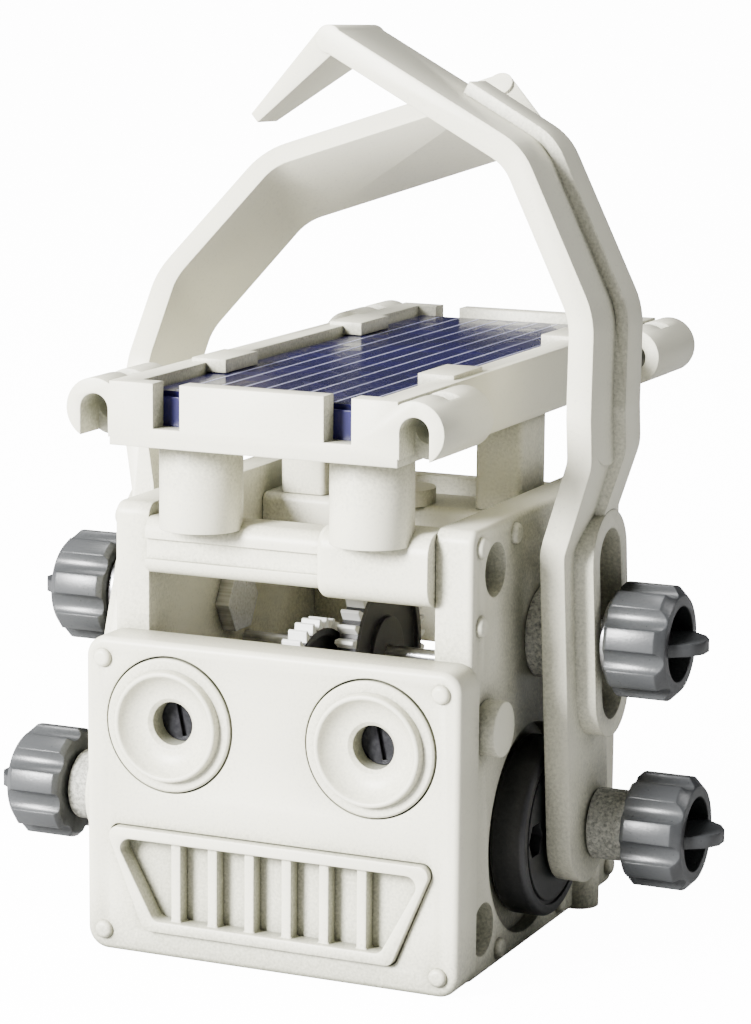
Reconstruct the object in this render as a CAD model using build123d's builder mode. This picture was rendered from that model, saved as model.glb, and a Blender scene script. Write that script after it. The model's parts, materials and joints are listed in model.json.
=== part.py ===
from build123d import *
from math import atan2, cos, degrees, radians, sin, sqrt
import os

# Toy robot driven by a solar cell. Millimetres, +Z up, the face looks along -Y.
# The origin is on the ground, under the middle of the body.

# Body
FACE_WIDTH = 48.0
FACE_HEIGHT = 38.2
FACE_THICKNESS = 5.5
FRONT_Y = -27.0
REAR_Y = 27.0
SIDE_X = 23.0            # outer face of a side frame
SIDE_THICKNESS = 4.6
SIDE_HEIGHT = 53.4
BASE_THICKNESS = 2.0
REAR_THICKNESS = 2.5
GAP = 0.1                # assembly gap between flat neighbours

STEM_RADIUS = 0.6        # rivet stems
STEM_HOLE = 0.7

# Face features
EYE_X = 12.9
EYE_Z = 28.4
EYE_RADIUS = 8.0
PUPIL_RADIUS = 2.6
MOUTH_TOP_Z = 15.6
MOUTH_BOTTOM_Z = 3.2
MOUTH_TOP_HALF = 21.2
MOUTH_BOTTOM_HALF = 16.0
MOUTH_FRAME = 1.4
MOUTH_DEPTH = 1.8
BAR_PITCH = 4.8
BAR_COUNT = 6

# Crank, pins and arms
AXLE_Y = -3.0
AXLE_Z = 14.5
AXLE_RADIUS = 2.0
HEX_FLATS = 3.2
THROW = 5.5              # crank pin distance from the axle
DISC_OFFSET = 1.5        # disc centre distance from the axle, towards its pin
DISC_RADIUS = 10.8
DISC_INNER_X = 21.6
DISC_OUTER_X = 26.0
PIN_RADIUS = 2.0
PIVOT_Y = 0.0
PIVOT_Z = 38.0
PIVOT_RADIUS = 2.0
RUNNING = 0.06           # radial running clearance
ARM_WIDTH = 12.8
ARM_THICKNESS = 3.0
ARM_LOW_X = 28.1         # middle of the strap beside the body
ARM_HIGH_X = 31.7        # middle of the strap beside the solar deck
JOG_START = 36.0         # along the arm from its lower pin
JOG_END = 47.0
ELBOW = 52.0
ARM_SHIFT = 2.4          # the strap's middle lies this far in front of its slot's
RIGHT_ELBOW = 8.0        # degrees by which the upper arm leans back more
LEFT_ELBOW = 18.0
SHOULDER = 11.0          # along the upper arm from the elbow
BEND = 29.0
BEND_X = 22.8
APEX = 41.6
CLAW_REACH = 11.2
CLAW_DROP = 9.6
RIB_WIDTH = 5.0
RIB_BACK = 3.4           # the rib's middle lies this far behind the strap's
RIB_HEIGHT = 1.5
LOOP_X = 32.0            # outer face of the loop
LOOP_WIDTH = 11.4
SLOT_WIDTH = 7.1
SLOT_START = 13.6
SLOT_END = 37.0
KNOB_RADIUS = 6.85
KNOB_LENGTH = 7.5
KNOB_RECESS = 4.5
KNOB_BORE = 4.6
PIN_DEPTH = 4.2          # how far a pin reaches into its knob
BAR_THICKNESS = 1.5
WASHER_X = 32.3
LOWER_KNOB_X = 34.8
UPPER_KNOB_X = 33.1

# Gear train, all axes along X
MODULE = 0.6
WHEEL_TEETH = 36
PINION_TEETH = 10
CENTRES = MODULE * (WHEEL_TEETH + PINION_TEETH) / 2
FRONT_GEAR = (-8.4, AXLE_Z + sqrt(CENTRES**2 - 5.4**2))
REAR_GEAR = (4.5, FRONT_GEAR[1] + sqrt(CENTRES**2 - 12.9**2))
MOTOR = (15.5, REAR_GEAR[1] - sqrt(CENTRES**2 - 11.0**2))
SHAFT_RADIUS = 1.0

# Solar deck
TUBE_X = 20.0
TUBE_Z = 66.0
TUBE_RADIUS = 3.6
TUBE_BORE = 1.8
TUBE_LENGTH = 14.3
TRAY_FRONT = -31.8
TRAY_REAR = 52.8
TRAY_Z = 62.0
TRAY_TOP = 69.4
FLOOR = 1.4
CELL_HALF = 14.8
CELL_TOP = 68.2
BOARD_TOP = 67.6
POST_X = 10.9
POST_Y = -22.6
POST_RADIUS = 4.9
POST_BOTTOM = 51.4
REAR_BAR_Y = 14.0
BEAM_Y = -19.4
BEAM_Z = 48.6
BEAM_SIZE = 6.8
COVER_SIZE = 8.6
COVER_START = 4.2

SIDE_INNER = SIDE_X - SIDE_THICKNESS
INSIDE = SIDE_INNER - GAP
BODY_FRONT = FRONT_Y + FACE_THICKNESS
RIGHT_PIN = (AXLE_Y + THROW, AXLE_Z)
LEFT_PIN = (AXLE_Y - THROW, AXLE_Z)


def save(piece, name):
    """Label a finished piece and write it."""
    piece.label = name
    export_step(piece, f"parts/{name}.step")


def across(x):
    """A plane facing +X at x, whose sketch axes are Y and Z."""
    return Plane.YZ.offset(x)


def upright(y):
    """A plane facing -Y at y, whose sketch axes are X and Z."""
    return Plane.XZ.offset(-y)


def mirrored(piece):
    """The same piece on the other side of the body."""
    with BuildPart() as twin:
        add(piece)
        mirror(about=Plane.YZ, mode=Mode.REPLACE)
    return twin.part


def lean(pin):
    """Angle from vertical of the line from a crank pin to the pivot, towards +Y."""
    return degrees(atan2(PIVOT_Y - pin[0], PIVOT_Z - pin[1]))


# ---------------------------------------------------------------- face
def face_plate():
    with BuildPart() as plate:
        with BuildSketch(upright(FRONT_Y)):
            with Locations((0, FACE_HEIGHT / 2)):
                RectangleRounded(FACE_WIDTH, FACE_HEIGHT, 2.6)
        extrude(amount=-FACE_THICKNESS)
        front = plate.faces().sort_by(Axis.Y)[0]
        fillet(front.outer_wire().edges(), 0.8)
        with BuildSketch(upright(FRONT_Y)):
            with Locations((-EYE_X, EYE_Z), (EYE_X, EYE_Z)):
                Circle(EYE_RADIUS + 0.25)
        extrude(amount=-1.6, mode=Mode.SUBTRACT)
        with BuildSketch(upright(FRONT_Y)):
            with Locations((-EYE_X, EYE_Z), (EYE_X, EYE_Z)):
                Circle(6.4)
        extrude(amount=-FACE_THICKNESS, mode=Mode.SUBTRACT)
        with BuildSketch(upright(FRONT_Y)):
            add(mouth_outline(0.15))
        extrude(amount=-MOUTH_DEPTH, mode=Mode.SUBTRACT)
        with BuildSketch(upright(FRONT_Y)):
            with Locations(*face_rivet_places()):
                Circle(STEM_HOLE)
        extrude(amount=-3, mode=Mode.SUBTRACT)
    return plate.part


def face_rivet_places():
    return [(x, z) for x in (-21.6, 21.6) for z in (2.5, 35.7)]


def mouth_outline(grow):
    """Rounded trapezoid of the mouth, grown or shrunk on every side."""
    top = MOUTH_TOP_HALF + grow
    low = MOUTH_BOTTOM_HALF + grow
    with BuildSketch() as outline:
        with BuildLine():
            FilletPolyline(
                (-top, MOUTH_TOP_Z + grow),
                (top, MOUTH_TOP_Z + grow),
                (low, MOUTH_BOTTOM_Z - grow),
                (-low, MOUTH_BOTTOM_Z - grow),
                radius=1.2,
                close=True,
            )
        make_face()
    return outline.sketch


def mouth_grille():
    with BuildPart() as grille:
        with BuildSketch(upright(FRONT_Y - 0.9)):
            add(mouth_outline(0))
        extrude(amount=-(0.9 + MOUTH_DEPTH - GAP))
        with BuildSketch(upright(FRONT_Y - 0.9)):
            add(mouth_outline(-MOUTH_FRAME))
        extrude(amount=-10, mode=Mode.SUBTRACT)
        with BuildSketch(upright(FRONT_Y - 0.2)):
            for i in range(BAR_COUNT):
                with Locations(((i - (BAR_COUNT - 1) / 2) * BAR_PITCH, 9.4)):
                    Rectangle(1.3, MOUTH_TOP_Z - MOUTH_BOTTOM_Z - MOUTH_FRAME)
        extrude(amount=-(0.2 + MOUTH_DEPTH - GAP))
    return grille.part


def eye_cup(side):
    """Flanged cup with a dished face and an open pupil."""
    with BuildPart() as cup:
        with BuildSketch(Plane.XY):
            with BuildLine():
                rim = Polyline((PUPIL_RADIUS, 5.4), (PUPIL_RADIUS, 0.9), (3.1, 0.5))
                dish = ThreePointArc(rim @ 1, (4.9, -0.1), (6.0, -1.3))
                crown = ThreePointArc(dish @ 1, (6.35, -1.45), (6.6, -1.2))
                Polyline(
                    crown @ 1,
                    (6.75, -0.35),
                    (EYE_RADIUS - 0.2, -0.35),
                    (EYE_RADIUS, -0.15),
                    (EYE_RADIUS, 1.55),
                    (6.3, 1.55),
                    (6.3, 5.4),
                    (PUPIL_RADIUS, 5.4),
                )
            make_face()
        revolve(axis=Axis.Y)
    return cup.part.moved(Location((side * EYE_X, FRONT_Y, EYE_Z)))


def pupil_caps():
    """Dark slotted screws deep in the eye cups."""
    with BuildPart() as caps:
        with BuildSketch(upright(FRONT_Y + 3.2)):
            with Locations((-EYE_X, EYE_Z), (EYE_X, EYE_Z)):
                Circle(PUPIL_RADIUS - 0.05)
        extrude(amount=-2.0)
        with BuildSketch(upright(FRONT_Y + 3.2)):
            with Locations((-EYE_X, EYE_Z), (EYE_X, EYE_Z)):
                Rectangle(0.5, 4.0, rotation=12)
        extrude(amount=-0.6, mode=Mode.SUBTRACT)
    return caps.part


def rivet(radius, height, stem):
    """Rounded rivet on the Z axis, its head resting on z = 0."""
    with BuildPart() as one:
        with BuildSketch(Plane.XY):
            Circle(radius)
        extrude(amount=height)
        fillet(one.edges().group_by(Axis.Z)[-1], 0.8 * height)
        with BuildSketch(Plane.XY):
            Circle(STEM_RADIUS)
        extrude(amount=-stem)
    return one.part


def face_rivets():
    head = rivet(1.1, 0.7, 2.4)
    with BuildPart() as heads:
        for x, z in face_rivet_places():
            add(head.moved(Plane((x, FRONT_Y, z), z_dir=(0, -1, 0)).location))
    return heads.part


# ---------------------------------------------------------------- body
SOCKET_DEPTH = 3.8
SIDE_SOCKETS = [(-14.7, 48.0, 3.2), (21.3, 47.4, 3.2), (-17.0, 5.6, 3.2), (22.3, 7.6, 2.2)]
SIDE_RIVETS = [
    (-19.2, 51.3), (-19.2, 42.1), (-8.9, 51.3), (25.0, 51.2),
    (25.0, 2.4), (7.6, 2.2), (-12.2, 2.0), (24.9, 27.0),
]
PEG = (-17.6, 30.0, 3.3)


def side_frame():
    """Right side frame with the round recess for its crank disc."""
    middle = (BODY_FRONT + REAR_Y) / 2
    with BuildPart() as frame:
        with BuildSketch(across(SIDE_INNER)):
            with Locations((middle, SIDE_HEIGHT / 2)):
                RectangleRounded(REAR_Y - BODY_FRONT, SIDE_HEIGHT, 1.6)
        extrude(amount=SIDE_THICKNESS)
        outer = frame.faces().sort_by(Axis.X)[-1]
        fillet(outer.outer_wire().edges(), 0.7)
        with BuildSketch(across(SIDE_X)):
            with Locations((AXLE_Y, AXLE_Z)):
                Circle(DISC_RADIUS + DISC_OFFSET + 0.4)
        extrude(amount=-1.8, mode=Mode.SUBTRACT)
        with BuildSketch(across(SIDE_X)):
            for y, z, radius in SIDE_SOCKETS:
                with Locations((y, z)):
                    Circle(radius)
        extrude(amount=-SOCKET_DEPTH, mode=Mode.SUBTRACT)
        with BuildSketch(across(SIDE_INNER)):
            with Locations((AXLE_Y, AXLE_Z)):
                Circle(3.2)
            with Locations((PIVOT_Y, PIVOT_Z)):
                Circle(PIVOT_RADIUS)
            with Locations(PEG[:2]):
                Circle(1.5)
        extrude(amount=SIDE_THICKNESS, mode=Mode.SUBTRACT)
        with BuildSketch(across(SIDE_INNER)):
            with Locations(FRONT_GEAR, REAR_GEAR):
                Circle(SHAFT_RADIUS)
        extrude(amount=1.8, mode=Mode.SUBTRACT)
        with BuildSketch(across(SIDE_X)):
            with Locations(*SIDE_RIVETS):
                Circle(STEM_HOLE)
        extrude(amount=-2.6, mode=Mode.SUBTRACT)
        with BuildSketch(Plane.XY):
            with Locations((SIDE_X - 0.2, 15.0)):
                Circle(2.6)
        extrude(amount=8.5)
    return frame.part


def side_rivets():
    head = rivet(1.25, 0.7, 2.2)
    with BuildPart() as heads:
        for side in (-1, 1):
            for y, z in SIDE_RIVETS:
                place = Plane((side * SIDE_X, y, z), z_dir=(side, 0, 0))
                add(head.moved(place.location))
    return heads.part


def face_pegs():
    """Round pegs that locate the face on the side frames."""
    with BuildPart() as pegs:
        for side in (-1, 1):
            with BuildSketch(across(side * SIDE_X)):
                with Locations(PEG[:2]):
                    Circle(PEG[2])
            extrude(amount=side * 2.6)
            with BuildSketch(across(side * SIDE_X)):
                with Locations(PEG[:2]):
                    Circle(1.5)
            extrude(amount=-side * 4.2)
    return pegs.part


def base_plate():
    depth = REAR_Y - REAR_THICKNESS - GAP - BODY_FRONT - GAP
    middle = (REAR_Y - REAR_THICKNESS + BODY_FRONT) / 2
    with BuildPart() as base:
        with BuildSketch(Plane.XY):
            with Locations((0, middle)):
                Rectangle(2 * INSIDE, depth)
        extrude(amount=BASE_THICKNESS)
        with BuildSketch(Plane.XY):
            with Locations((0, middle)):
                with GridLocations(24, 9, 2, 4):
                    SlotOverall(9, 2.4)
        extrude(amount=BASE_THICKNESS, mode=Mode.SUBTRACT)
    return base.part


REAR_SCREWS = [(x, z) for x in (-15.8, 15.8) for z in (4.0, 46.5)]


def rear_plate():
    height = SIDE_HEIGHT - 2.4
    with BuildPart() as plate:
        with BuildSketch(upright(REAR_Y)):
            with Locations((0, height / 2)):
                Rectangle(2 * INSIDE, height)
            with Locations((0, height - 5.5)):
                SlotOverall(12, 4.6, mode=Mode.SUBTRACT)
            with Locations((0, 20)):
                with GridLocations(1, 4.2, 1, 5):
                    SlotOverall(22, 1.8, mode=Mode.SUBTRACT)
            with Locations(*REAR_SCREWS):
                Circle(STEM_HOLE, mode=Mode.SUBTRACT)
        extrude(amount=REAR_THICKNESS)
        with BuildSketch(upright(REAR_Y)):
            with Locations((0, 20)):
                RectangleRounded(27, 24, 2)
                RectangleRounded(25, 22, 1.5, mode=Mode.SUBTRACT)
        extrude(amount=-0.6)
    return plate.part


def rear_screws():
    head = rivet(1.5, 0.8, 2.0)
    with BuildPart() as heads:
        for x, z in REAR_SCREWS:
            add(head.moved(Plane((x, REAR_Y, z), z_dir=(0, 1, 0)).location))
    return heads.part


def beam_bar(size, corner, start, end):
    """Square bar with rounded edges on the cross beam's line."""
    with BuildPart() as bar:
        with BuildSketch(across(start)):
            with Locations((BEAM_Y, BEAM_Z)):
                RectangleRounded(size, size, corner)
        extrude(amount=end - start)
    return bar.part


def cross_beam():
    """Square beam between the side frames, with a long flute in its front."""
    with BuildPart() as beam:
        add(beam_bar(BEAM_SIZE, 1.8, -INSIDE, INSIDE))
        with Locations((-INSIDE, BEAM_Y - BEAM_SIZE / 2, BEAM_Z - 0.3)):
            Box(
                INSIDE + COVER_START,
                1.0,
                2.4,
                align=(Align.MIN, Align.CENTER, Align.CENTER),
                mode=Mode.SUBTRACT,
            )
    return beam.part


def beam_cover():
    """Sleeve over the right half of the beam, under the right post."""
    with BuildPart() as cover:
        add(beam_bar(COVER_SIZE, 2.6, COVER_START, INSIDE))
        fillet(cover.faces().sort_by(Axis.X)[0].edges(), 0.9)
        add(beam_bar(BEAM_SIZE, 1.8, COVER_START, INSIDE), mode=Mode.SUBTRACT)
    return cover.part


def rear_cross_bar():
    with BuildPart() as bar:
        with BuildSketch(upright(REAR_BAR_Y + 5)):
            with Locations((0, 47.9)):
                Rectangle(2 * INSIDE, 4.2)
        extrude(amount=10)
        fillet(bar.edges().filter_by(Axis.X), 1.0)
        with BuildSketch(Plane.XY.offset(49.9)):
            with Locations((0, REAR_BAR_Y - 3)):
                Circle(4.2)
        extrude(amount=2.0)
    return bar.part


# ---------------------------------------------------------------- solar deck
def front_posts():
    """Two round posts that sit astride the cross beam."""
    with BuildPart() as posts:
        with BuildSketch(Plane.XY.offset(POST_BOTTOM)):
            with Locations((-POST_X, POST_Y), (POST_X, POST_Y)):
                Circle(POST_RADIUS)
        extrude(amount=TRAY_Z - POST_BOTTOM)
        add(beam_bar(BEAM_SIZE + 0.04, 1.8, -INSIDE, 0), mode=Mode.SUBTRACT)
        add(beam_bar(COVER_SIZE + 0.04, 2.6, 0, INSIDE), mode=Mode.SUBTRACT)
    return posts.part


def rear_posts():
    with BuildPart() as posts:
        with BuildSketch(Plane.XY.offset(50.0)):
            with Locations((-13.2, REAR_BAR_Y), (13.2, REAR_BAR_Y)):
                RectangleRounded(6.2, 8.4, 0.8)
        extrude(amount=TRAY_Z - 50.0)
    return posts.part


def solar_tray():
    length = TRAY_REAR - TRAY_FRONT
    middle = (TRAY_REAR + TRAY_FRONT) / 2
    windows = knuckle_windows()
    with BuildPart() as tray:
        with BuildSketch(Plane.XY.offset(TRAY_Z)):
            with Locations((0, middle)):
                Rectangle(36, length)
        extrude(amount=FLOOR)
        with BuildSketch(Plane.XY.offset(TRAY_Z)):
            for x in (-16.5, 16.5):
                with Locations((x, middle)):
                    Rectangle(3, length)
            for y in (TRAY_FRONT + 1.3, TRAY_REAR - 1.3):
                with Locations((0, y)):
                    Rectangle(36, 2.6)
        extrude(amount=TRAY_TOP - TRAY_Z)
        with BuildSketch(Plane.XY.offset(CELL_TOP + GAP)):
            for side in (-1, 1):
                for y in (-9, 30):
                    with Locations((side * 14.6, y)):
                        Rectangle(4.6, 8.6)
        extrude(amount=TRAY_TOP + 0.5 - CELL_TOP - GAP)
        for y in (TRAY_FRONT, TRAY_REAR - TUBE_LENGTH):
            with BuildSketch(upright(y)):
                with Locations((-TUBE_X, TUBE_Z), (TUBE_X, TUBE_Z)):
                    Circle(TUBE_RADIUS)
            extrude(amount=-TUBE_LENGTH)
        with BuildSketch(upright(TRAY_FRONT)):
            with Locations((-TUBE_X, TUBE_Z), (TUBE_X, TUBE_Z)):
                Circle(TUBE_BORE)
        extrude(amount=-length, mode=Mode.SUBTRACT)
        with BuildSketch(upright(TRAY_FRONT)):
            for side in (-1, 1):
                with Locations((side * 10.7, TRAY_TOP)):
                    Rectangle(3.4, 10.4)
        extrude(amount=-length, mode=Mode.SUBTRACT)
        add(windows, mode=Mode.SUBTRACT)
    return tray.part


def knuckle_windows():
    """Slots that open each tube downwards at its end and upwards further in."""
    with BuildPart() as slots:
        for inset, length, way in ((2.2, 4.6, -1), (7.0, 3.0, 1)):
            with BuildSketch(Plane.XY.offset(TUBE_Z)):
                for y in (TRAY_FRONT + inset, TRAY_REAR - inset):
                    with Locations((-TUBE_X, y), (TUBE_X, y)):
                        Rectangle(2 * TUBE_BORE, length)
            extrude(amount=way * (TUBE_RADIUS + 1))
    return slots.part


def deck_slab(low, high, inset):
    """Flat slab inside the tray walls, between two heights."""
    front = TRAY_FRONT + 2.7 + inset
    rear = TRAY_REAR - 2.7 - inset
    with BuildPart() as slab:
        with BuildSketch(Plane.XY.offset(low)):
            with Locations((0, (front + rear) / 2)):
                Rectangle(2 * (CELL_HALF - inset), rear - front)
        extrude(amount=high - low)
    return slab.part


# ---------------------------------------------------------------- gears
def gear_face(teeth, phase):
    """Straight-flanked gear outline with a tooth centred on the angle phase."""
    pitch = MODULE * teeth / 2
    tip = pitch + 0.85 * MODULE
    root = pitch - 1.2 * MODULE
    half = 90 / teeth
    flank = [(root, -1.30), (tip, -0.42), (tip, 0.42), (root, 1.30)]
    points = []
    for i in range(teeth):
        for radius, share in flank:
            angle = radians(phase + 360 * i / teeth + share * half)
            points.append((radius * cos(angle), radius * sin(angle)))
    with BuildSketch() as outline:
        with BuildLine():
            Polyline(*points, close=True)
        make_face()
    return outline.sketch


def bearing(start, end):
    """Direction in degrees from one gear centre to another."""
    return degrees(atan2(end[1] - start[1], end[0] - start[0]))


AXLE = (AXLE_Y, AXLE_Z)
TO_FRONT = bearing(AXLE, FRONT_GEAR)
TO_REAR = bearing(FRONT_GEAR, REAR_GEAR)
TO_MOTOR = bearing(REAR_GEAR, MOTOR)


def gear_at(centre, x):
    """Sketch plane facing +X at x whose origin is a gear centre."""
    return Plane((x, centre[0], centre[1]), x_dir=(0, 1, 0), z_dir=(1, 0, 0))


def wheel_disc(centre, x, phase):
    """Toothed wheel with a thinner web between rim and hub."""
    outline = gear_face(WHEEL_TEETH, phase)
    with BuildPart() as wheel:
        with BuildSketch(gear_at(centre, x)):
            add(outline)
        extrude(amount=2.4)
        for face_x, way in ((x, 1), (x + 2.4, -1)):
            with BuildSketch(gear_at(centre, face_x)):
                Circle(9.2)
                Circle(4.6, mode=Mode.SUBTRACT)
            extrude(amount=way * 0.6, mode=Mode.SUBTRACT)
    return wheel.part


def compound_gear(centre, x, wheel_phase, pinion_phase):
    """Wheel with a pinion on its left face, running on a fixed shaft."""
    wheel = wheel_disc(centre, x, wheel_phase)
    pinion = gear_face(PINION_TEETH, pinion_phase)
    with BuildPart() as gear:
        add(wheel)
        with BuildSketch(gear_at(centre, x)):
            add(pinion)
        extrude(amount=-3.4)
        with BuildSketch(gear_at(centre, x - 4)):
            Circle(SHAFT_RADIUS + RUNNING)
        extrude(amount=8, mode=Mode.SUBTRACT)
    return gear.part


def output_gear():
    wheel = wheel_disc(AXLE, -7.4, TO_FRONT)
    with BuildPart() as gear:
        add(wheel)
        with BuildSketch(gear_at(AXLE, -7.4)):
            Circle(4.0)
        extrude(amount=-1.8)
        with BuildSketch(gear_at(AXLE, -10)):
            Circle(AXLE_RADIUS)
        extrude(amount=6, mode=Mode.SUBTRACT)
    return gear.part


def motor_pinion():
    teeth = gear_face(PINION_TEETH, TO_MOTOR + 180 + 180 / PINION_TEETH)
    with BuildPart() as pinion:
        with BuildSketch(gear_at(MOTOR, -1.4)):
            add(teeth)
            Circle(0.75, mode=Mode.SUBTRACT)
        extrude(amount=3.0)
    return pinion.part


def rod(centre, x_start, x_end, radius):
    with BuildPart() as bar:
        with BuildSketch(gear_at(centre, x_start)):
            Circle(radius)
        extrude(amount=x_end - x_start)
    return bar.part


def gear_shafts():
    with BuildPart() as shafts:
        for centre in (FRONT_GEAR, REAR_GEAR):
            add(rod(centre, -SIDE_INNER - 1.7, SIDE_INNER + 1.7, SHAFT_RADIUS))
    return shafts.part


# ---------------------------------------------------------------- motor
def motor_slice(x_start, length, shrink):
    """Length of the motor's round body with two flats."""
    with BuildPart() as body:
        with BuildSketch(gear_at(MOTOR, x_start)):
            Circle(6 - shrink)
            Rectangle(12, 10 - 2 * shrink, mode=Mode.INTERSECT)
        extrude(amount=length)
    return body.part


def motor_can():
    with BuildPart() as can:
        add(motor_slice(-16, 12, 0))
        with BuildSketch(gear_at(MOTOR, -4)):
            Circle(2)
        extrude(amount=0.8)
        with BuildSketch(gear_at(MOTOR, -16)):
            Circle(0.8)
        extrude(amount=14, mode=Mode.SUBTRACT)
    return can.part


def motor_terminals():
    with BuildPart() as tabs:
        with BuildSketch(gear_at(MOTOR, -18.0)):
            with Locations((0, -3.1), (0, 3.1)):
                Rectangle(1.8, 0.5)
        extrude(amount=-0.25)
        with BuildSketch(gear_at(MOTOR, -18.25)):
            with Locations((2.5, -3.1), (2.5, 3.1)):
                Rectangle(6.8, 0.5)
        extrude(amount=0.2)
    return tabs.part


def motor_bracket():
    with BuildPart() as bracket:
        with BuildSketch(gear_at((MOTOR[0], 0), -15.5)):
            with Locations((0, 12.5)):
                Rectangle(15, 2 * (12.5 - BASE_THICKNESS))
        extrude(amount=7)
        with BuildSketch(gear_at(MOTOR, -15.5)):
            Circle(6.02)
            Rectangle(12.04, 10.04, mode=Mode.INTERSECT)
        extrude(amount=7, mode=Mode.SUBTRACT)
        with BuildSketch(gear_at((MOTOR[0], 8), -15.5)):
            Rectangle(8, 7)
        extrude(amount=7, mode=Mode.SUBTRACT)
    return bracket.part


# ---------------------------------------------------------------- crank
def drive_axle():
    """Round axle with a hexagonal end for each crank disc."""
    flat = SIDE_INNER + 2.8
    with BuildPart() as axle:
        add(rod(AXLE, -flat, flat, AXLE_RADIUS))
        for side in (-1, 1):
            with BuildSketch(gear_at(AXLE, side * flat)):
                RegularPolygon(HEX_FLATS / 2, 6, major_radius=False)
            extrude(amount=side * (25.4 - flat))
    return axle.part


def axle_bushes():
    with BuildPart() as bushes:
        for side in (-1, 1):
            with BuildSketch(gear_at(AXLE, side * SIDE_INNER)):
                Circle(3.2)
            extrude(amount=side * 2.7)
            with BuildSketch(gear_at(AXLE, side * SIDE_INNER)):
                Circle(4.2)
            extrude(amount=-side * 0.8)
        with BuildSketch(gear_at(AXLE, -SIDE_X)):
            Circle(AXLE_RADIUS + RUNNING)
        extrude(amount=2 * SIDE_X, mode=Mode.SUBTRACT)
    return bushes.part


def crank_disc(side, pin):
    """Eccentric disc with a hex bore for the axle and a hole for its pin."""
    way = 1 if pin[0] > AXLE_Y else -1
    centre = (AXLE_Y + way * DISC_OFFSET, AXLE_Z)
    thickness = DISC_OUTER_X - DISC_INNER_X
    with BuildPart() as disc:
        with BuildSketch(gear_at(centre, side * DISC_INNER_X)):
            Circle(DISC_RADIUS)
        extrude(amount=side * thickness)
        fillet(disc.edges().filter_by(GeomType.CIRCLE), 0.6)
        with BuildSketch(gear_at(centre, side * DISC_OUTER_X)):
            Circle(9.4)
            Circle(8.9, mode=Mode.SUBTRACT)
        extrude(amount=-side * 0.3, mode=Mode.SUBTRACT)
        with BuildSketch(gear_at(AXLE, side * DISC_INNER_X)):
            RegularPolygon(HEX_FLATS / 2, 6, major_radius=False)
        extrude(amount=side * thickness, mode=Mode.SUBTRACT)
        with BuildSketch(gear_at(pin, side * DISC_INNER_X)):
            Circle(PIN_RADIUS)
        extrude(amount=side * thickness, mode=Mode.SUBTRACT)
        with BuildSketch(gear_at((AXLE_Y - way * 5.2, AXLE_Z), side * DISC_OUTER_X)):
            RegularPolygon(HEX_FLATS / 2 + 0.3, 6, major_radius=False)
        extrude(amount=-side * 2.6, mode=Mode.SUBTRACT)
    return disc.part


def spacer(side, pin):
    with BuildPart() as ring:
        with BuildSketch(gear_at(pin, side * 29.9)):
            Circle(4.3)
            Circle(PIN_RADIUS, mode=Mode.SUBTRACT)
        extrude(amount=side * (LOWER_KNOB_X - 0.2 - 29.9))
        fillet(ring.edges().group_by(Axis.X)[0 if side < 0 else -1], 0.4)
    return ring.part


def side_rod(side, centre, x_start, x_end, radius):
    """Rod on either side of the body, from its inner to its outer end."""
    low = min(side * x_start, side * x_end)
    high = max(side * x_start, side * x_end)
    return rod(centre, low, high, radius)


def pivot_pin(side):
    """Fixed bolt with a hexagonal head inside the body."""
    with BuildPart() as bolt:
        add(side_rod(side, (PIVOT_Y, PIVOT_Z), SIDE_INNER - 0.1, UPPER_KNOB_X + PIN_DEPTH, PIVOT_RADIUS))
        with BuildSketch(gear_at((PIVOT_Y, PIVOT_Z), side * (SIDE_INNER - 0.05))):
            RegularPolygon(3.6, 6, major_radius=False)
        extrude(amount=-side * 1.8)
    return bolt.part


def pivot_boss(side):
    with BuildPart() as boss:
        with BuildSketch(gear_at((PIVOT_Y, PIVOT_Z), side * (SIDE_X + 0.02))):
            Circle(5.6)
            Circle(PIVOT_RADIUS, mode=Mode.SUBTRACT)
        extrude(amount=side * 3.2)
    return boss.part


def slot_washers():
    with BuildPart() as washers:
        for side in (-1, 1):
            with BuildSketch(gear_at((PIVOT_Y, PIVOT_Z), side * WASHER_X)):
                Circle(5.0)
                Circle(PIVOT_RADIUS, mode=Mode.SUBTRACT)
            extrude(amount=side * 0.6)
    return washers.part


def finger_bar(side, middle):
    """Flat bar across a knob's recess, which stands out past its face."""
    half = KNOB_RECESS - 0.1
    outline = [(-2.7, -half), (0, -half), (2.2, -2.8), (3.2, -1.0)]
    outline += [(x, -y) for x, y in reversed(outline)]
    with BuildPart() as bar:
        with BuildSketch(Plane(middle, x_dir=(side, 0, 0), z_dir=(0, 0, 1))):
            with BuildLine():
                Polyline(*outline, close=True)
            make_face()
        extrude(amount=BAR_THICKNESS / 2, both=True)
    return bar.part


def knob(side, centre, start, bore):
    """Fluted knob, recessed at its outer end round a finger bar."""
    face = side * (start + KNOB_LENGTH)
    with BuildPart() as grip:
        with BuildSketch(gear_at(centre, side * start)):
            Circle(KNOB_RADIUS)
        extrude(amount=side * KNOB_LENGTH)
        rims = grip.edges().filter_by(GeomType.CIRCLE)
        chamfer(rims.sort_by(Axis.X)[-1 if side > 0 else 0], 1.1)
        chamfer(rims.sort_by(Axis.X)[0 if side > 0 else -1], 0.6)
        with BuildSketch(gear_at(centre, side * start)):
            with PolarLocations(KNOB_RADIUS + 0.55, 8, start_angle=11):
                Circle(1.55)
        extrude(amount=side * KNOB_LENGTH, mode=Mode.SUBTRACT)
        with BuildSketch(gear_at(centre, face)):
            Circle(KNOB_RECESS)
        extrude(amount=-side * 2.6, mode=Mode.SUBTRACT)
        add(finger_bar(side, (face, centre[0], centre[1])))
        with BuildSketch(gear_at(centre, side * start)):
            Circle(bore)
        extrude(amount=side * KNOB_BORE, mode=Mode.SUBTRACT)
    return grip.part


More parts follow.
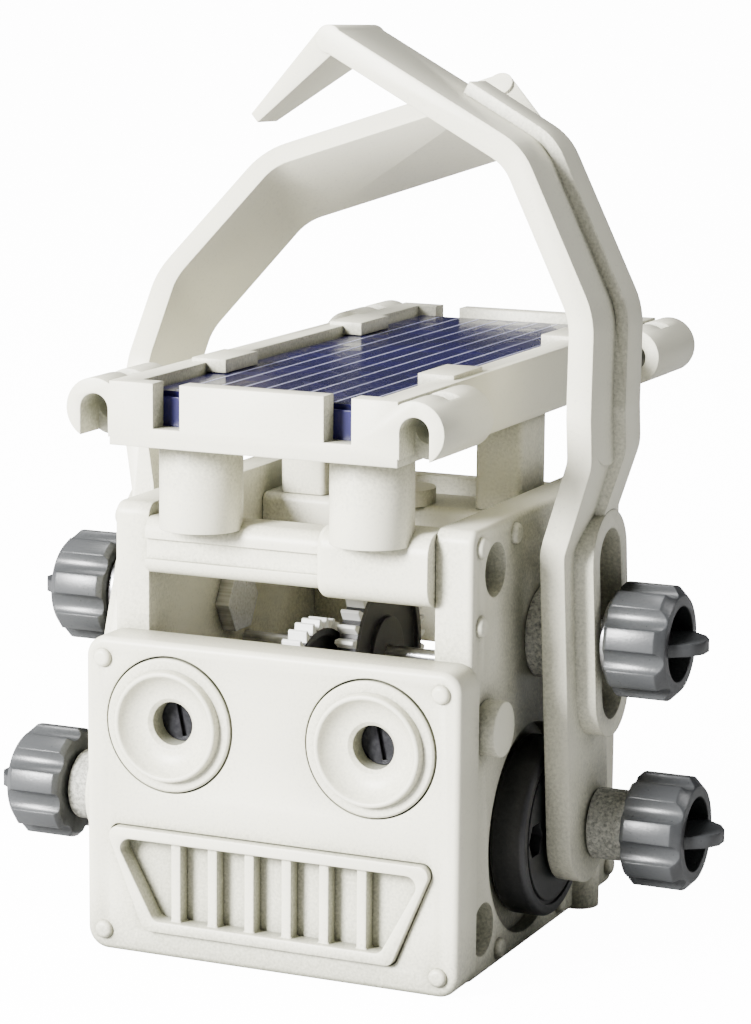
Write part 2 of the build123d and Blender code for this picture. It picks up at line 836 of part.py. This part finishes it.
# ---------------------------------------------------------------- arms
def arm_plane(origin, angle):
    """Plane of an arm's side view: X across the body, Y up the leaning arm."""
    tilt = radians(angle)
    return Plane(origin, x_dir=(1, 0, 0), z_dir=(0, -cos(tilt), sin(tilt)))


def slot_plane(x, pin, angle):
    """Plane facing +X whose X axis runs up the leaning arm from its pin."""
    tilt = radians(angle)
    return Plane((x, pin[0], pin[1]), x_dir=(0, sin(tilt), cos(tilt)), z_dir=(1, 0, 0))


def strap(plane, points, radii, width, thickness):
    """Flat strap that follows a bent line in the given plane."""
    with BuildPart() as bar:
        with BuildSketch(plane):
            with BuildLine():
                FilletPolyline(*points, radius=radii)
            trace(line_width=thickness)
        extrude(amount=width / 2, both=True)
    return bar.part


def claw(plane, side, apex_x):
    """Tapered hook that hangs from the arm's apex."""
    reach = side * CLAW_REACH
    start = plane.from_local_coords((side * apex_x, APEX, 0))
    end = plane.from_local_coords((side * apex_x - reach, APEX - CLAW_DROP, 0))
    way = (end - start).normalized()
    widthwise = plane.z_dir
    with BuildPart() as hook:
        with BuildSketch(Plane(start, x_dir=widthwise, z_dir=way)):
            Rectangle(ARM_WIDTH, ARM_THICKNESS + 0.3)
        with BuildSketch(Plane(end, x_dir=widthwise, z_dir=way)):
            Rectangle(5.2, 1.3)
        loft()
        with BuildSketch(Plane(start, x_dir=way, z_dir=widthwise)):
            Circle(ARM_THICKNESS / 2 + 0.15)
        extrude(amount=ARM_WIDTH / 2, both=True)
    return hook.part


def arm(side, pin, apex_x, kink):
    """Slotted arm with an outward jog, an elbow, a bent top and a claw."""
    angle = lean(pin)
    tilt = radians(angle)
    heel = (pin[0] - ARM_SHIFT * cos(tilt), pin[1] + ARM_SHIFT * sin(tilt))
    elbow = (heel[0] + ELBOW * sin(tilt), heel[1] + ELBOW * cos(tilt))
    rib_end = (elbow[0] + RIB_BACK * cos(tilt), elbow[1] - RIB_BACK * sin(tilt))
    low = arm_plane((0, *heel), angle)
    high = arm_plane((0, *elbow), angle + kink)
    low_x = side * ARM_LOW_X
    high_x = side * ARM_HIGH_X
    slot_middle = (SLOT_START + SLOT_END) / 2
    slot_length = SLOT_END - SLOT_START
    wall = LOOP_WIDTH - SLOT_WIDTH
    rib = side * (ARM_THICKNESS + RIB_HEIGHT) / 2
    straps = [
        strap(
            low,
            [(low_x, 0), (low_x, JOG_START), (high_x, JOG_END), (high_x, ELBOW)],
            [5, 5],
            ARM_WIDTH,
            ARM_THICKNESS,
        ),
        strap(
            high,
            [(high_x, 0), (high_x, SHOULDER), (side * BEND_X, BEND), (side * apex_x, APEX)],
            [9, 7],
            ARM_WIDTH,
            ARM_THICKNESS,
        ),
        claw(high, side, apex_x),
        strap(
            low.offset(-RIB_BACK),
            [(low_x + rib, SLOT_END), (high_x + rib, JOG_END), (high_x + rib, ELBOW)],
            [5],
            RIB_WIDTH,
            RIB_HEIGHT,
        ),
        strap(
            high.offset(-RIB_BACK),
            [
                (high_x + rib, 0),
                (high_x + rib, SHOULDER + 0.6),
                (side * (BEND_X + 1.7), BEND + 1.5),
                (side * (BEND_X - 9.0), BEND + 7.4),
            ],
            [9, 7],
            RIB_WIDTH,
            RIB_HEIGHT,
        ),
    ]
    with BuildPart() as limb:
        for piece in straps:
            add(piece)
        for centre, x in ((heel, ARM_LOW_X), (elbow, ARM_HIGH_X)):
            with BuildSketch(gear_at(centre, side * (x - ARM_THICKNESS / 2))):
                Circle(ARM_WIDTH / 2)
            extrude(amount=side * ARM_THICKNESS)
        with BuildSketch(gear_at(rib_end, side * (ARM_HIGH_X + ARM_THICKNESS / 2))):
            Circle(RIB_WIDTH / 2)
        extrude(amount=side * RIB_HEIGHT)
        face = side * (ARM_LOW_X - ARM_THICKNESS / 2)
        with BuildSketch(slot_plane(face, pin, angle)):
            with Locations((slot_middle, 0)):
                SlotOverall(slot_length + wall, LOOP_WIDTH)
        extrude(amount=side * (LOOP_X - abs(face)))
        with BuildSketch(slot_plane(side * 20, pin, angle)):
            with Locations((slot_middle, 0)):
                SlotOverall(slot_length, SLOT_WIDTH)
            Circle(PIN_RADIUS + RUNNING)
        extrude(amount=side * 20, mode=Mode.SUBTRACT)
    return limb.part


# ---------------------------------------------------------------- output
def main():
    os.makedirs("parts", exist_ok=True)
    frame = side_frame()
    pieces = {
        "face_plate": face_plate(),
        "mouth_grille": mouth_grille(),
        "left_eye_cup": eye_cup(-1),
        "right_eye_cup": eye_cup(1),
        "pupil_caps": pupil_caps(),
        "face_rivets": face_rivets(),
        "right_side_frame": frame,
        "left_side_frame": mirrored(frame),
        "side_rivets": side_rivets(),
        "face_pegs": face_pegs(),
        "base_plate": base_plate(),
        "rear_plate": rear_plate(),
        "rear_screws": rear_screws(),
        "cross_beam": cross_beam(),
        "beam_cover": beam_cover(),
        "rear_cross_bar": rear_cross_bar(),
        "front_posts": front_posts(),
        "rear_posts": rear_posts(),
        "solar_tray": solar_tray(),
        "cell_board": deck_slab(TRAY_Z + FLOOR, BOARD_TOP, 0),
        "solar_cell": deck_slab(BOARD_TOP, CELL_TOP, 0.6),
        "front_compound_gear": compound_gear(
            FRONT_GEAR, -4.4, TO_REAR, TO_FRONT + 180 + 180 / PINION_TEETH
        ),
        "rear_compound_gear": compound_gear(
            REAR_GEAR, -1.2, TO_MOTOR, TO_REAR + 180 + 180 / PINION_TEETH
        ),
        "gear_shafts": gear_shafts(),
        "output_gear": output_gear(),
        "drive_axle": drive_axle(),
        "axle_bushes": axle_bushes(),
        "motor_can": motor_can(),
        "motor_end_cap": motor_slice(-18.0, 2.0, 0.4),
        "motor_terminals": motor_terminals(),
        "motor_shaft": rod(MOTOR, -15.5, 1.9, 0.75),
        "motor_pinion": motor_pinion(),
        "motor_bracket": motor_bracket(),
        "slot_washers": slot_washers(),
    }
    for side, name, pin, apex_x, kink in (
        (-1, "left", LEFT_PIN, -5.6, LEFT_ELBOW),
        (1, "right", RIGHT_PIN, -0.6, RIGHT_ELBOW),
    ):
        pieces[f"{name}_crank_disc"] = crank_disc(side, pin)
        pieces[f"{name}_crank_pin"] = side_rod(
            side, pin, DISC_INNER_X + 0.1, LOWER_KNOB_X + PIN_DEPTH, PIN_RADIUS
        )
        pieces[f"{name}_spacer"] = spacer(side, pin)
        pieces[f"{name}_lower_knob"] = knob(side, pin, LOWER_KNOB_X, PIN_RADIUS + RUNNING)
        pieces[f"{name}_pivot_boss"] = pivot_boss(side)
        pieces[f"{name}_pivot_pin"] = pivot_pin(side)
        pieces[f"{name}_upper_knob"] = knob(
            side, (PIVOT_Y, PIVOT_Z), UPPER_KNOB_X, PIVOT_RADIUS + RUNNING
        )
        pieces[f"{name}_arm"] = arm(side, pin, apex_x, kink)
    for name, piece in pieces.items():
        save(piece, name)


main()
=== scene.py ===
import json
from math import cos, radians, sin

import bmesh
import bpy
from mathutils import Matrix, Vector

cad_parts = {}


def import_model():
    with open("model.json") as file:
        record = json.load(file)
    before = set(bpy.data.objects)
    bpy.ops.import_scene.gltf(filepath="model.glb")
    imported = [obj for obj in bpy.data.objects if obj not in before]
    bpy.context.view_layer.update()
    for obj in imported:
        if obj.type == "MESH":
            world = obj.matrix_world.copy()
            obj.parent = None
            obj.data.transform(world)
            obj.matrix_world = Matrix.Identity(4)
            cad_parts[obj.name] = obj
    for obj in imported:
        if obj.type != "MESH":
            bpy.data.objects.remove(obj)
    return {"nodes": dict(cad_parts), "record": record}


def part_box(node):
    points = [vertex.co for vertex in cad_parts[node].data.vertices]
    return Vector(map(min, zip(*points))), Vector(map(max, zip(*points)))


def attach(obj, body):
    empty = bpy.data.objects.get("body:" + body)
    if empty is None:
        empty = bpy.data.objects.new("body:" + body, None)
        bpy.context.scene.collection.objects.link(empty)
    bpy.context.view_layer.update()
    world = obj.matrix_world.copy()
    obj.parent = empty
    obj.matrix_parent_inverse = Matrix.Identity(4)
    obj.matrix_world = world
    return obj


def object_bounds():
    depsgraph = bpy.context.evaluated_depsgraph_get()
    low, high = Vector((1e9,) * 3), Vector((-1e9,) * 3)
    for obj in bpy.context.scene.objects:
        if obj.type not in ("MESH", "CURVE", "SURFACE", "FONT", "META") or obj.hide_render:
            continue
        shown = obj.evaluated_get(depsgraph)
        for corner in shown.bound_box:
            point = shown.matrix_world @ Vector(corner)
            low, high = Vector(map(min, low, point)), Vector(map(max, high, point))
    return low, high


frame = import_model()
CAD_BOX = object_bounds()
NODES = frame["nodes"]
SLOT_OF = {part["node"]: part["material_slot"] for part in frame["record"]["subparts"]}
MM = 0.001


# ------------------------------------------------------------------ shader helpers
class Shader:
    """A material under construction, with short calls for the nodes used here."""

    def __init__(self, name, roughness=0.5, metallic=0.0, **sockets):
        self.material = bpy.data.materials.new(name)
        self.material.use_nodes = True
        self.tree = self.material.node_tree
        self.surface = self.tree.nodes["Principled BSDF"]
        self.surface.inputs["Roughness"].default_value = roughness
        self.surface.inputs["Metallic"].default_value = metallic
        for socket, value in sockets.items():
            self.surface.inputs[socket.replace("_", " ")].default_value = value
        self.place = self.tree.nodes.new("ShaderNodeTexCoord").outputs["Object"]

    def node(self, kind, inputs=None, **settings):
        made = self.tree.nodes.new("ShaderNode" + kind)
        for key, value in settings.items():
            setattr(made, key, value)
        for key, value in (inputs or {}).items():
            self.feed(made.inputs[key], value)
        return made

    def feed(self, socket, value):
        if isinstance(value, bpy.types.NodeSocket):
            self.tree.links.new(value, socket)
        else:
            socket.default_value = value

    def math(self, operation, first, second=0.0, third=0.0):
        made = self.node("Math", {0: first, 1: second, 2: third}, operation=operation)
        return made.outputs[0]

    def noise(self, size, detail=3.0, roughness=0.55, stretch=(1, 1, 1)):
        """Noise whose blotches are about size metres across."""
        mapped = self.node("Mapping", {"Vector": self.place, "Scale": stretch})
        made = self.node(
            "TexNoise",
            {
                "Vector": mapped.outputs[0],
                "Scale": 1 / size,
                "Detail": detail,
                "Roughness": roughness,
            },
        )
        return made.outputs["Fac"]

    def ramp(self, factor, stops, interpolation="LINEAR"):
        """Colour ramp with (position, colour) stops."""
        made = self.node("ValToRGB", {"Fac": factor})
        elements = made.color_ramp.elements
        made.color_ramp.interpolation = interpolation
        while len(elements) < len(stops):
            elements.new(0.5)
        for element, (position, colour) in zip(elements, stops):
            element.position = position
            element.color = (*colour, 1)
        return made.outputs["Color"]

    def spread(self, factor, low, high):
        """Factor from 0..1 stretched to low..high."""
        made = self.node("MapRange", {"Value": factor, "To Min": low, "To Max": high})
        return made.outputs[0]

    def mix(self, factor, first, second):
        made = self.node("Mix", data_type="RGBA")
        self.feed(made.inputs["Factor"], factor)
        self.feed(made.inputs["A"], first if not isinstance(first, tuple) else (*first, 1))
        self.feed(made.inputs["B"], second if not isinstance(second, tuple) else (*second, 1))
        return made.outputs["Result"]

    def colour(self, value):
        self.feed(self.surface.inputs["Base Color"], value)

    def shaded(self, value, reach, shade, grain):
        """Colour that turns towards the shade, with a speckled edge, in corners and recesses."""
        open_air = self.node("AmbientOcclusion", {"Distance": reach}, samples=6).outputs["AO"]
        speckle = self.math("MULTIPLY_ADD", grain, 0.6, -0.3)
        depth = self.ramp(
            self.math("ADD", open_air, speckle), [(0.2, (0, 0, 0)), (0.95, (1, 1, 1))]
        )
        return self.mix(depth, shade, value)

    def roughness(self, value):
        self.feed(self.surface.inputs["Roughness"], value)

    def bump(self, height, distance, strength=1.0, under=None):
        """Bump over another normal, or over the softened edges of the mesh."""
        made = self.node(
            "Bump", {"Height": height, "Distance": distance, "Strength": strength}
        )
        if under is None:
            under = self.node("Bevel", {"Radius": EDGE_SOFTNESS}, samples=4).outputs[0]
        self.feed(made.inputs["Normal"], under)
        return made.outputs[0]

    def normal(self, value):
        self.feed(self.surface.inputs["Normal"], value)


# ------------------------------------------------------------------ materials
SHADE = (0.26, 0.27, 0.25)   # share of each colour left in deep corners
SHADE_REACH = 9 * MM
EDGE_SOFTNESS = 0.22 * MM
BACKDROP_GLOW = 14.0         # of the floor and the world, for the camera alone


def moulded_plastic(name, colour, roughness, grain, grain_height, mottle):
    """Moulded plastic: faint flow marks, a fine grain, and shade in its corners."""
    shader = Shader(name, roughness, Specular_IOR_Level=0.45)
    dark = tuple(c * (1 - mottle) for c in colour)
    light = tuple(min(1.0, c * (1 + mottle)) for c in colour)
    flow = shader.noise(14 * MM, detail=2, stretch=(1, 0.7, 1.4))
    tone = shader.ramp(flow, [(0.35, dark), (0.65, light)])
    shade = tuple(c * depth for c, depth in zip(colour, SHADE))
    fine = shader.noise(grain * MM, detail=2)
    shader.colour(shader.shaded(tone, SHADE_REACH, shade, fine))
    shader.roughness(shader.spread(fine, roughness - 0.06, roughness + 0.06))
    waviness = shader.bump(shader.noise(5 * MM, detail=1), 0.02 * MM, 0.5)
    shader.normal(shader.bump(fine, grain_height * MM, 0.6, under=waviness))
    return shader.material


def speckled_plastic():
    """Sand-textured plastic of the bosses and spacers."""
    shader = Shader("speckled_plastic", 0.62)
    fine = shader.noise(0.45 * MM, detail=4, roughness=0.7)
    shader.colour(shader.ramp(fine, [(0.38, (0.20, 0.20, 0.175)), (0.62, (0.50, 0.49, 0.43))]))
    shader.normal(shader.bump(fine, 0.12 * MM, 0.9))
    return shader.material


def gear_plastic(name, centre, web_radius):
    """White gear plastic whose web is printed near black inside its rim."""
    shader = Shader(name, 0.4)
    spot = shader.node("SeparateXYZ", {0: shader.place})
    across = shader.math("SUBTRACT", spot.outputs["Y"], centre[0])
    up = shader.math("SUBTRACT", spot.outputs["Z"], centre[1])
    squares = shader.math(
        "ADD", shader.math("MULTIPLY", across, across), shader.math("MULTIPLY", up, up)
    )
    radius = shader.math("SQRT", squares)
    inside = shader.math("LESS_THAN", radius, web_radius)
    rough = shader.noise(0.8 * MM, detail=3)
    web = shader.ramp(rough, [(0.3, (0.016, 0.016, 0.018)), (0.7, (0.035, 0.034, 0.036))])
    shader.colour(shader.mix(inside, (0.82, 0.82, 0.79), web))
    shader.roughness(shader.spread(rough, 0.34, 0.5))
    shader.normal(shader.bump(rough, 0.02 * MM, 0.5))
    return shader.material


def cell_resin():
    """Dark navy resin block under the cell."""
    shader = Shader("cell_resin", 0.22, Specular_IOR_Level=0.3)
    cloud = shader.noise(6 * MM, detail=3)
    shader.colour(shader.ramp(cloud, [(0.3, (0.008, 0.007, 0.045)), (0.7, (0.016, 0.014, 0.085))]))
    shader.normal(shader.bump(shader.noise(1.2 * MM, detail=2), 0.01 * MM, 0.5))
    return shader.material


def cell_wafer():
    """Blue-violet silicon under clear resin, with crystal flecks."""
    shader = Shader("cell_wafer", 0.28, Specular_IOR_Level=0.1)
    flakes = shader.node(
        "TexVoronoi", {"Vector": shader.place, "Scale": 1 / (3.2 * MM)}
    )
    tone = shader.node("SeparateColor", {0: flakes.outputs["Color"]}).outputs[0]
    shader.colour(shader.ramp(tone, [(0.0, (0.004, 0.003, 0.032)), (1.0, (0.006, 0.0045, 0.045))]))
    shader.roughness(shader.spread(tone, 0.16, 0.3))
    shader.normal(shader.bump(shader.noise(2 * MM, detail=2), 0.01 * MM, 0.4))
    return shader.material


def cell_silver():
    """Printed lavender-silver fingers of the cell."""
    shader = Shader("cell_silver", 0.35, metallic=0.6)
    streak = shader.noise(0.5 * MM, detail=2, stretch=(1, 0.1, 1))
    shader.colour(shader.ramp(streak, [(0.3, (0.42, 0.42, 0.66)), (0.7, (0.62, 0.62, 0.84))]))
    shader.normal(shader.bump(streak, 0.01 * MM, 0.4))
    return shader.material


def drawn_metal(name, dark, light, roughness):
    """Metal with fine drawing lines along X."""
    shader = Shader(name, roughness, metallic=1.0)
    lines = shader.noise(0.35 * MM, detail=4, stretch=(0.06, 1, 1))
    shader.colour(shader.ramp(lines, [(0.3, dark), (0.7, light)]))
    shader.roughness(shader.spread(lines, roughness - 0.08, roughness + 0.1))
    shader.normal(shader.bump(lines, 0.01 * MM, 0.5))
    return shader.material


def dark_screw():
    """Blackened steel at the bottom of the eyes."""
    shader = Shader("dark_screw", 0.4, metallic=0.7)
    wear = shader.noise(0.7 * MM, detail=3)
    shader.colour(shader.ramp(wear, [(0.3, (0.008, 0.008, 0.01)), (0.7, (0.03, 0.03, 0.033))]))
    shader.normal(shader.bump(wear, 0.02 * MM, 0.6))
    return shader.material


def studio_floor():
    """Matt paper that the camera sees as white."""
    shader = Shader("studio_floor", 0.9, Emission_Color=(1, 1, 1, 1))
    seen = shader.node("LightPath").outputs["Is Camera Ray"]
    glow = shader.math("MULTIPLY", seen, BACKDROP_GLOW)
    shader.feed(shader.surface.inputs["Emission Strength"], glow)
    paper = shader.noise(3 * MM, detail=2)
    shader.colour(shader.ramp(paper, [(0.3, (0.38, 0.38, 0.38)), (0.7, (0.40, 0.40, 0.40))]))
    return shader.material


def middle_of(node):
    """Y and Z of the middle of a node's box."""
    low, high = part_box(node)
    return ((low.y + high.y) / 2, (low.z + high.z) / 2)


# name: colour, roughness, grain and grain height in millimetres, mottle
PLASTICS = {
    "cream_plastic": ((0.81, 0.785, 0.635), 0.40, 0.35, 0.018, 0.03),
    "white_plastic": ((0.85, 0.85, 0.83), 0.40, 0.30, 0.010, 0.03),
    "grey_plastic": ((0.052, 0.054, 0.056), 0.30, 0.30, 0.020, 0.08),
    "dark_plastic": ((0.036, 0.036, 0.038), 0.40, 0.30, 0.020, 0.10),
}
MATERIALS = {
    **{name: moulded_plastic(name, *finish) for name, finish in PLASTICS.items()},
    "speckled": speckled_plastic(),
    "black_steel": dark_screw(),
    "navy_board": cell_resin(),
    "solar_glass": cell_wafer(),
    "steel": drawn_metal("steel", (0.50, 0.50, 0.51), (0.72, 0.72, 0.73), 0.3),
    "brass": drawn_metal("brass", (0.62, 0.44, 0.17), (0.85, 0.66, 0.30), 0.28),
}
GEARS = ("front_compound_gear", "rear_compound_gear", "output_gear")
SPECKLED = ("left_pivot_boss", "right_pivot_boss", "left_spacer", "right_spacer")
WEB_RADIUS = 10.1 * MM


# ------------------------------------------------------------------ mesh helpers
SMOOTH_ANGLE = radians(28)
FLAT_ANGLE = radians(0.4)
BEVEL_ANGLE = radians(40)


def smoothing_group():
    """Geometry nodes that shade smooth but keep edges sharper than SMOOTH_ANGLE."""
    group = bpy.data.node_groups.new("smooth_by_angle", "GeometryNodeTree")
    group.interface.new_socket("Geometry", in_out="INPUT", socket_type="NodeSocketGeometry")
    group.interface.new_socket("Geometry", in_out="OUTPUT", socket_type="NodeSocketGeometry")
    start = group.nodes.new("NodeGroupInput")
    end = group.nodes.new("NodeGroupOutput")
    faces = group.nodes.new("GeometryNodeSetShadeSmooth")
    edges = group.nodes.new("GeometryNodeSetShadeSmooth")
    edges.domain = "EDGE"
    angle = group.nodes.new("GeometryNodeInputMeshEdgeAngle")
    gentle = group.nodes.new("FunctionNodeCompare")
    gentle.operation = "LESS_THAN"
    gentle.inputs["B"].default_value = SMOOTH_ANGLE
    link = group.links.new
    link(start.outputs[0], faces.inputs["Geometry"])
    link(faces.outputs[0], edges.inputs["Geometry"])
    link(angle.outputs["Unsigned Angle"], gentle.inputs["A"])
    link(gentle.outputs[0], edges.inputs["Shade Smooth"])
    link(edges.outputs[0], end.inputs[0])
    return group


SMOOTHING = smoothing_group()


def finish_edges(piece, radius):
    """Weld a piece, round its sharp edges if it has a radius, and smooth its shading."""
    weld = piece.modifiers.new("weld", "WELD")
    weld.merge_threshold = 0.001 * MM
    if radius > 0:
        clean = piece.modifiers.new("clean", "DECIMATE")
        clean.decimate_type = "DISSOLVE"
        clean.angle_limit = FLAT_ANGLE
        bevel = piece.modifiers.new("bevel", "BEVEL")
        bevel.width = radius
        bevel.segments = 2
        bevel.limit_method = "ANGLE"
        bevel.angle_limit = BEVEL_ANGLE
    smooth = piece.modifiers.new("smooth", "NODES")
    smooth.node_group = SMOOTHING


def piece_from(name, mesh, body, material):
    """A new piece that rides on a body and wears the given material."""
    piece = bpy.data.objects.new(name, mesh)
    bpy.context.scene.collection.objects.link(piece)
    piece.data.materials.clear()
    piece.data.materials.append(material)
    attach(piece, body)
    return piece


# ------------------------------------------------------------------ CAD nodes
# Radius in millimetres by the node's name without its side
EDGE_RADIUS = {
    "face_plate": 0.12,
    "side_frame": 0.15,
    "cross_beam": 0.15,
    "front_posts": 0.2,
    "rear_posts": 0.2,
    "mouth_grille": 0.22,
    "solar_tray": 0.3,
    "upper_knob": 0.3,
    "lower_knob": 0.3,
    "arm": 0.35,
    "pivot_boss": 0.35,
    "face_pegs": 0.35,
}


def dress_cad_nodes():
    """Give every CAD node its material and softened edges."""
    for node, piece in NODES.items():
        if node in GEARS:
            material = gear_plastic(f"{node}_plastic", middle_of(node), WEB_RADIUS)
        elif node in SPECKLED:
            material = MATERIALS["speckled"]
        else:
            material = MATERIALS[SLOT_OF[node]]
        piece.data.materials.clear()
        piece.data.materials.append(material)
        kind = node.removeprefix("left_").removeprefix("right_")
        finish_edges(piece, EDGE_RADIUS.get(kind, 0) * MM)


# ------------------------------------------------------------------ solar cell
CELL_STRIPS = 10             # a finger lies between each two strips
FINGER_WIDTH = 0.32 * MM
FINGER_HEIGHT = 0.04 * MM
FINGER_MARGIN = 0.8 * MM     # bare cell at the end of each finger


def box_into(mesh, low, high):
    """Add a closed box to a bmesh, from one corner to the other."""
    size = high - low
    place = Matrix.Translation((low + high) / 2) @ Matrix.Diagonal((*size, 1))
    bmesh.ops.create_cube(mesh, size=1, matrix=place)


def cell_fingers():
    """Thin printed lines along the cell, half sunk in its top."""
    low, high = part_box("solar_cell")
    pitch = (high.x - low.x) / CELL_STRIPS
    work = bmesh.new()
    for i in range(1, CELL_STRIPS):
        x = low.x + i * pitch
        box_into(
            work,
            Vector((x - FINGER_WIDTH / 2, low.y + FINGER_MARGIN, high.z - FINGER_HEIGHT / 2)),
            Vector((x + FINGER_WIDTH / 2, high.y - FINGER_MARGIN, high.z + FINGER_HEIGHT / 2)),
        )
    mesh = bpy.data.meshes.new("cell_fingers")
    work.to_mesh(mesh)
    work.free()
    return piece_from("cell_fingers", mesh, "root", cell_silver())


# ------------------------------------------------------------------ studio
FLOOR_REACH = 12.0
FLOOR_GAP = 0.02 * MM
SKY_LIGHT = 0.13
LIT_POINT = (0, 0, 0.05)
# name, place, diameter, power
LIGHTS = (
    ("key", (-0.42, -0.78, 0.40), 0.32, 52.0),
    ("rim", (0.62, 0.30, 0.42), 0.25, 1.4),
    ("top", (-0.15, 0.10, 0.85), 0.35, 5.0),
)
AZIMUTH = 24.0
ELEVATION = 10.36
ROLL = 0.5
DISTANCE = 0.4114
LENS = 120.2
AIM = (0, -5.6 * MM, 42.9 * MM)
ASIDE = 3.5 * MM
ABOVE = 8.3 * MM


def camera_axes():
    """Unit vectors of the camera: towards it, to its right and up."""
    turn, rise, roll = radians(AZIMUTH), radians(ELEVATION), radians(ROLL)
    back = Vector((sin(turn) * cos(rise), -cos(turn) * cos(rise), sin(rise)))
    level = Vector((cos(turn), sin(turn), 0))
    upright = back.cross(level)
    right = cos(roll) * level + sin(roll) * upright
    up = cos(roll) * upright - sin(roll) * level
    return back, right, up


def camera():
    back, right, up = camera_axes()
    aim = Vector(AIM) + right * ASIDE + up * ABOVE
    data = bpy.data.cameras.new("camera")
    data.lens = LENS
    data.clip_start = 0.01
    data.clip_end = 20
    place = bpy.data.objects.new("camera", data)
    turn = Matrix((right, up, back)).transposed().to_4x4()
    place.matrix_world = Matrix.Translation(aim + back * DISTANCE) @ turn
    bpy.context.scene.collection.objects.link(place)
    bpy.context.scene.camera = place


def area_light(name, place, size, power):
    """Round soft light in metres and watts, turned towards the middle of the object."""
    data = bpy.data.lights.new(name, "AREA")
    data.shape = "DISK"
    data.size = size
    data.energy = power
    lamp = bpy.data.objects.new(name, data)
    away = (Vector(place) - Vector(LIT_POINT)).normalized()
    turn = away.to_track_quat("Z", "Y").to_matrix().to_4x4()
    lamp.matrix_world = Matrix.Translation(place) @ turn
    bpy.context.scene.collection.objects.link(lamp)


def floor():
    """Pale floor just under the object."""
    z = CAD_BOX[0].z - FLOOR_GAP
    corners = [(-1, -1), (1, -1), (1, 1), (-1, 1)]
    mesh = bpy.data.meshes.new("floor")
    mesh.from_pydata([(x * FLOOR_REACH, y * FLOOR_REACH, z) for x, y in corners], [], [range(4)])
    ground = bpy.data.objects.new("floor", mesh)
    ground.data.materials.append(studio_floor())
    bpy.context.scene.collection.objects.link(ground)


def world():
    """White backdrop for the camera, and a dimmer sky for the light."""
    sky = bpy.data.worlds.new("studio")
    sky.use_nodes = True
    tree = sky.node_tree
    backdrop = tree.nodes["Background"]
    backdrop.inputs["Color"].default_value = (1, 1, 1, 1)
    backdrop.inputs["Strength"].default_value = BACKDROP_GLOW
    ambient = tree.nodes.new("ShaderNodeBackground")
    ambient.inputs["Color"].default_value = (0.93, 0.97, 1.0, 1)
    ambient.inputs["Strength"].default_value = SKY_LIGHT
    seen = tree.nodes.new("ShaderNodeLightPath").outputs["Is Camera Ray"]
    choice = tree.nodes.new("ShaderNodeMixShader")
    tree.links.new(seen, choice.inputs[0])
    tree.links.new(ambient.outputs[0], choice.inputs[1])
    tree.links.new(backdrop.outputs[0], choice.inputs[2])
    tree.links.new(choice.outputs[0], tree.nodes["World Output"].inputs[0])
    bpy.context.scene.world = sky


dress_cad_nodes()
cell_fingers()
camera()
floor()
for light in LIGHTS:
    area_light(*light)
world()
